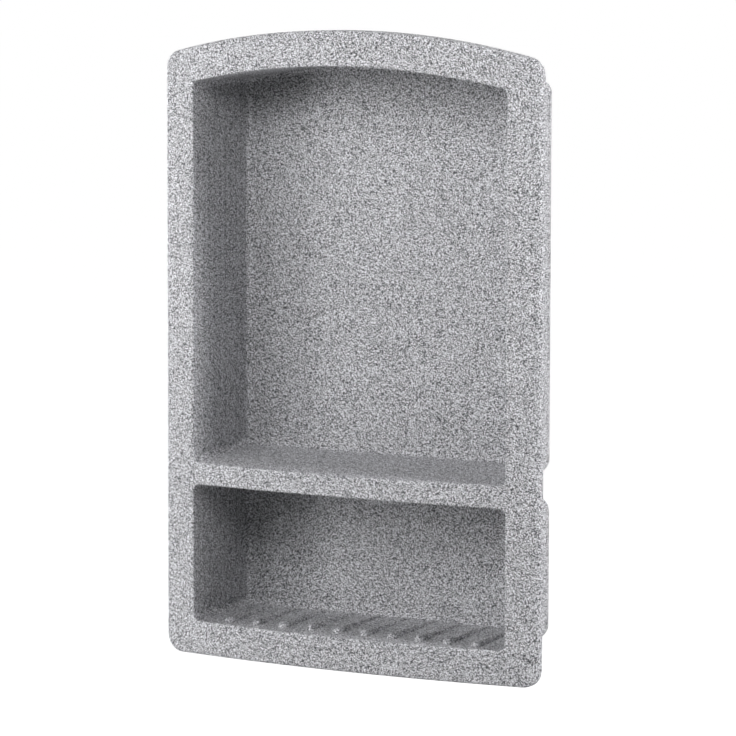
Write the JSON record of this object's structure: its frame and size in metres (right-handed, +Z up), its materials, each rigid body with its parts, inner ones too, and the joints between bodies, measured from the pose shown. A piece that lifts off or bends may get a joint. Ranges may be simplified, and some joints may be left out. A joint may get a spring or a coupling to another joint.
{
  "type": "recessed soap dish",
  "caption": "Wall-recessed soap dish and shower shelf: an arched, bow-fronted frame around a tall shelf niche and a low soap niche with drain ribs.",
  "frame": {"origin": "on the wall surface, at the middle of the lower edge of the frame's rear rim", "axes": "+X to the right along the wall, +Y into the wall, +Z up; the bowed face looks along -Y"},
  "size_m": [0.381, 0.0985, 0.559],
  "materials": {
    "solid_surface": "matte, with a fine granite speckle"
  },
  "bodies": {
    "root": {"recessed_shelf": "solid_surface"}
  },
  "joints": []
}
